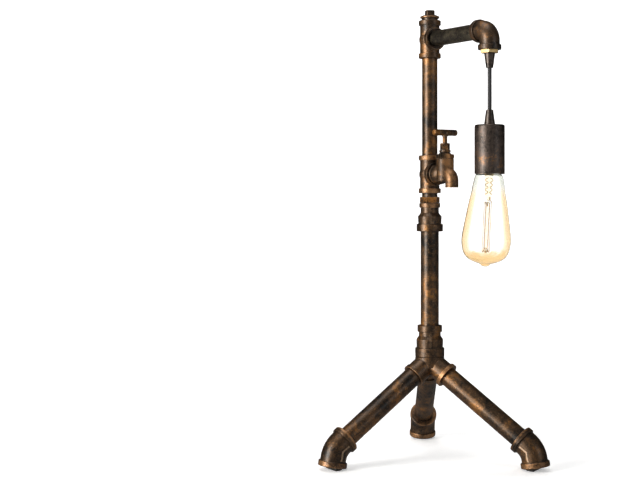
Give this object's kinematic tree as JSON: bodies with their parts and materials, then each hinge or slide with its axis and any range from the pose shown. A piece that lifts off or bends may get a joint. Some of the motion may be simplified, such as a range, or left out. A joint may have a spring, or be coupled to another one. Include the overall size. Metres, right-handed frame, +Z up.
{
  "type": "industrial pipe table lamp",
  "caption": "Industrial pipe table lamp: tripod of pipe legs, a pole with a tap as its switch, and a pear-shaped filament bulb hung on a cord from an arm.",
  "frame": {"origin": "middle of the lamp's own box, at the height of the table", "axes": "+Z up the pole, +Y towards the rear leg, +X to the right of someone facing the two front legs"},
  "size_m": [0.3066, 0.3169, 0.6176],
  "materials": {
    "aged_bronze": "antique bronze over iron, rubbed at the edges",
    "tap_bronze": "antique bronze over brass, rubbed at the edges",
    "socket_bronze": "antique bronze, mottled",
    "gland_bronze": "dark bronze",
    "polished_brass": "polished",
    "plain_brass": "plain",
    "black_rubber": "matt",
    "black_cord": "satin",
    "porcelain": "glazed",
    "zinc_steel": "zinc plated",
    "switch_plastic": "moulded",
    "black_glass": "opaque",
    "amber_glass": "clear with an amber tint",
    "clear_glass": "clear",
    "filament_wire": "carbonised wire"
  },
  "bodies": {
    "stand": {"leg_hub": "aged_bronze", "hub_grommet": "black_rubber", "hub_nipple": "aged_bronze", "leg_pipe_left": "aged_bronze", "leg_pipe_right": "aged_bronze", "leg_pipe_rear": "aged_bronze", "foot_elbow_left": "aged_bronze", "foot_elbow_right": "aged_bronze", "foot_elbow_rear": "aged_bronze", "foot_plug_left": "black_rubber", "foot_plug_right": "black_rubber", "foot_plug_rear": "black_rubber", "lower_reducer": "aged_bronze", "lower_pole": "aged_bronze", "upper_reducer": "aged_bronze"},
    "column": {"swivel_nipple": "aged_bronze", "lock_nut": "aged_bronze", "tap_tee": "aged_bronze", "upper_pole": "aged_bronze", "arm_tee": "aged_bronze", "top_plug": "aged_bronze", "arm_pipe": "aged_bronze", "drop_elbow": "aged_bronze", "brass_bushing": "polished_brass", "upper_gland": "gland_bronze", "switched_cable": "black_cord", "tap_body": "tap_bronze", "rotary_switch": "switch_plastic", "switch_terminals": "plain_brass", "tap_bonnet": "tap_bronze", "packing_nut": "tap_bronze", "spindle_seal": "black_rubber"},
    "tap_handle": {"tap_spindle": "tap_bronze", "tap_handle": "tap_bronze", "handle_pin": "tap_bronze"},
    "cord": {"pendant_cord": "black_cord"},
    "pendant": {"lower_gland": "gland_bronze", "socket_cover": "socket_bronze", "gland_nut": "plain_brass", "lampholder_body": "porcelain", "lampholder_shell": "plain_brass", "centre_contact": "plain_brass", "terminal_screws": "plain_brass", "lampholder_cap": "porcelain", "holder_screws": "zinc_steel", "lampholder_leads": "black_cord"},
    "bulb": {"bulb_glass": "amber_glass", "bulb_cap": "plain_brass", "cap_insulator": "black_glass", "cap_contact": "plain_brass", "bulb_stem": "clear_glass", "filament": "filament_wire", "support_wires": "filament_wire"}
  },
  "joints": [
    {"name": "column_swivel", "type": "hinge", "parent": "stand", "child": "column", "pos_m": [0, -0.01541, 0.352], "axis": [0, 0, 1], "range_deg": [-170, 170]},
    {"name": "tap_turn", "type": "hinge", "parent": "column", "child": "tap_handle", "pos_m": [0.01855, -0.04509, 0.4477], "axis": [0, 0, 1], "range_deg": [0, 90]},
    {"name": "cord_swing", "type": "hinge", "parent": "column", "child": "cord", "pos_m": [0.06963, -0.12684, 0.5277], "axis": [-0.848, -0.5299, 0], "range_deg": [-15, 25]},
    {"name": "pendant_tilt", "type": "hinge", "parent": "cord", "child": "pendant", "pos_m": [0.06963, -0.12684, 0.4734], "axis": [0.5299, -0.848, 0], "range_deg": [-15, 15]},
    {"name": "bulb_out", "type": "slide", "parent": "pendant", "child": "bulb", "axis": [-0.0453, 0.0032, -0.999], "range_m": [0, 0.03]}
  ]
}
